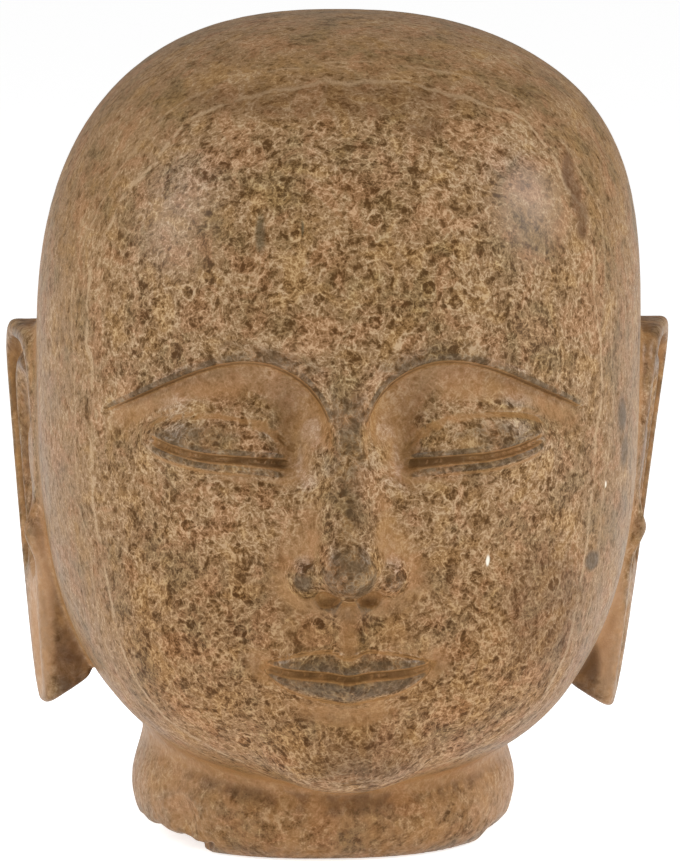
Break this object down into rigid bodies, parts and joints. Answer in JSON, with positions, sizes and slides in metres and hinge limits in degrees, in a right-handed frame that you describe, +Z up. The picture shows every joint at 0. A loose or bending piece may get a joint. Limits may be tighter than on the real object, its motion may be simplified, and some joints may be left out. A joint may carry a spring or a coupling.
{
  "type": "stone buddha head",
  "caption": "Ornamental carved stone head of a Buddha with a shaven crown, lowered lids, long ears and a short broken neck, standing on its flat underside.",
  "frame": {"origin": "on the ground plane under the middle of the head's bounding box", "axes": "+Z up from the underside of the neck to the crown, the face looks along -Y, and +X runs to the right of someone facing it"},
  "size_m": [0.33, 0.3218, 0.3999],
  "materials": {
    "stone": "dark fossil stone under an earthy tan skin, mottled, with a dull waxed sheen"
  },
  "bodies": {
    "root": {"buddha_head": "stone"}
  },
  "joints": []
}
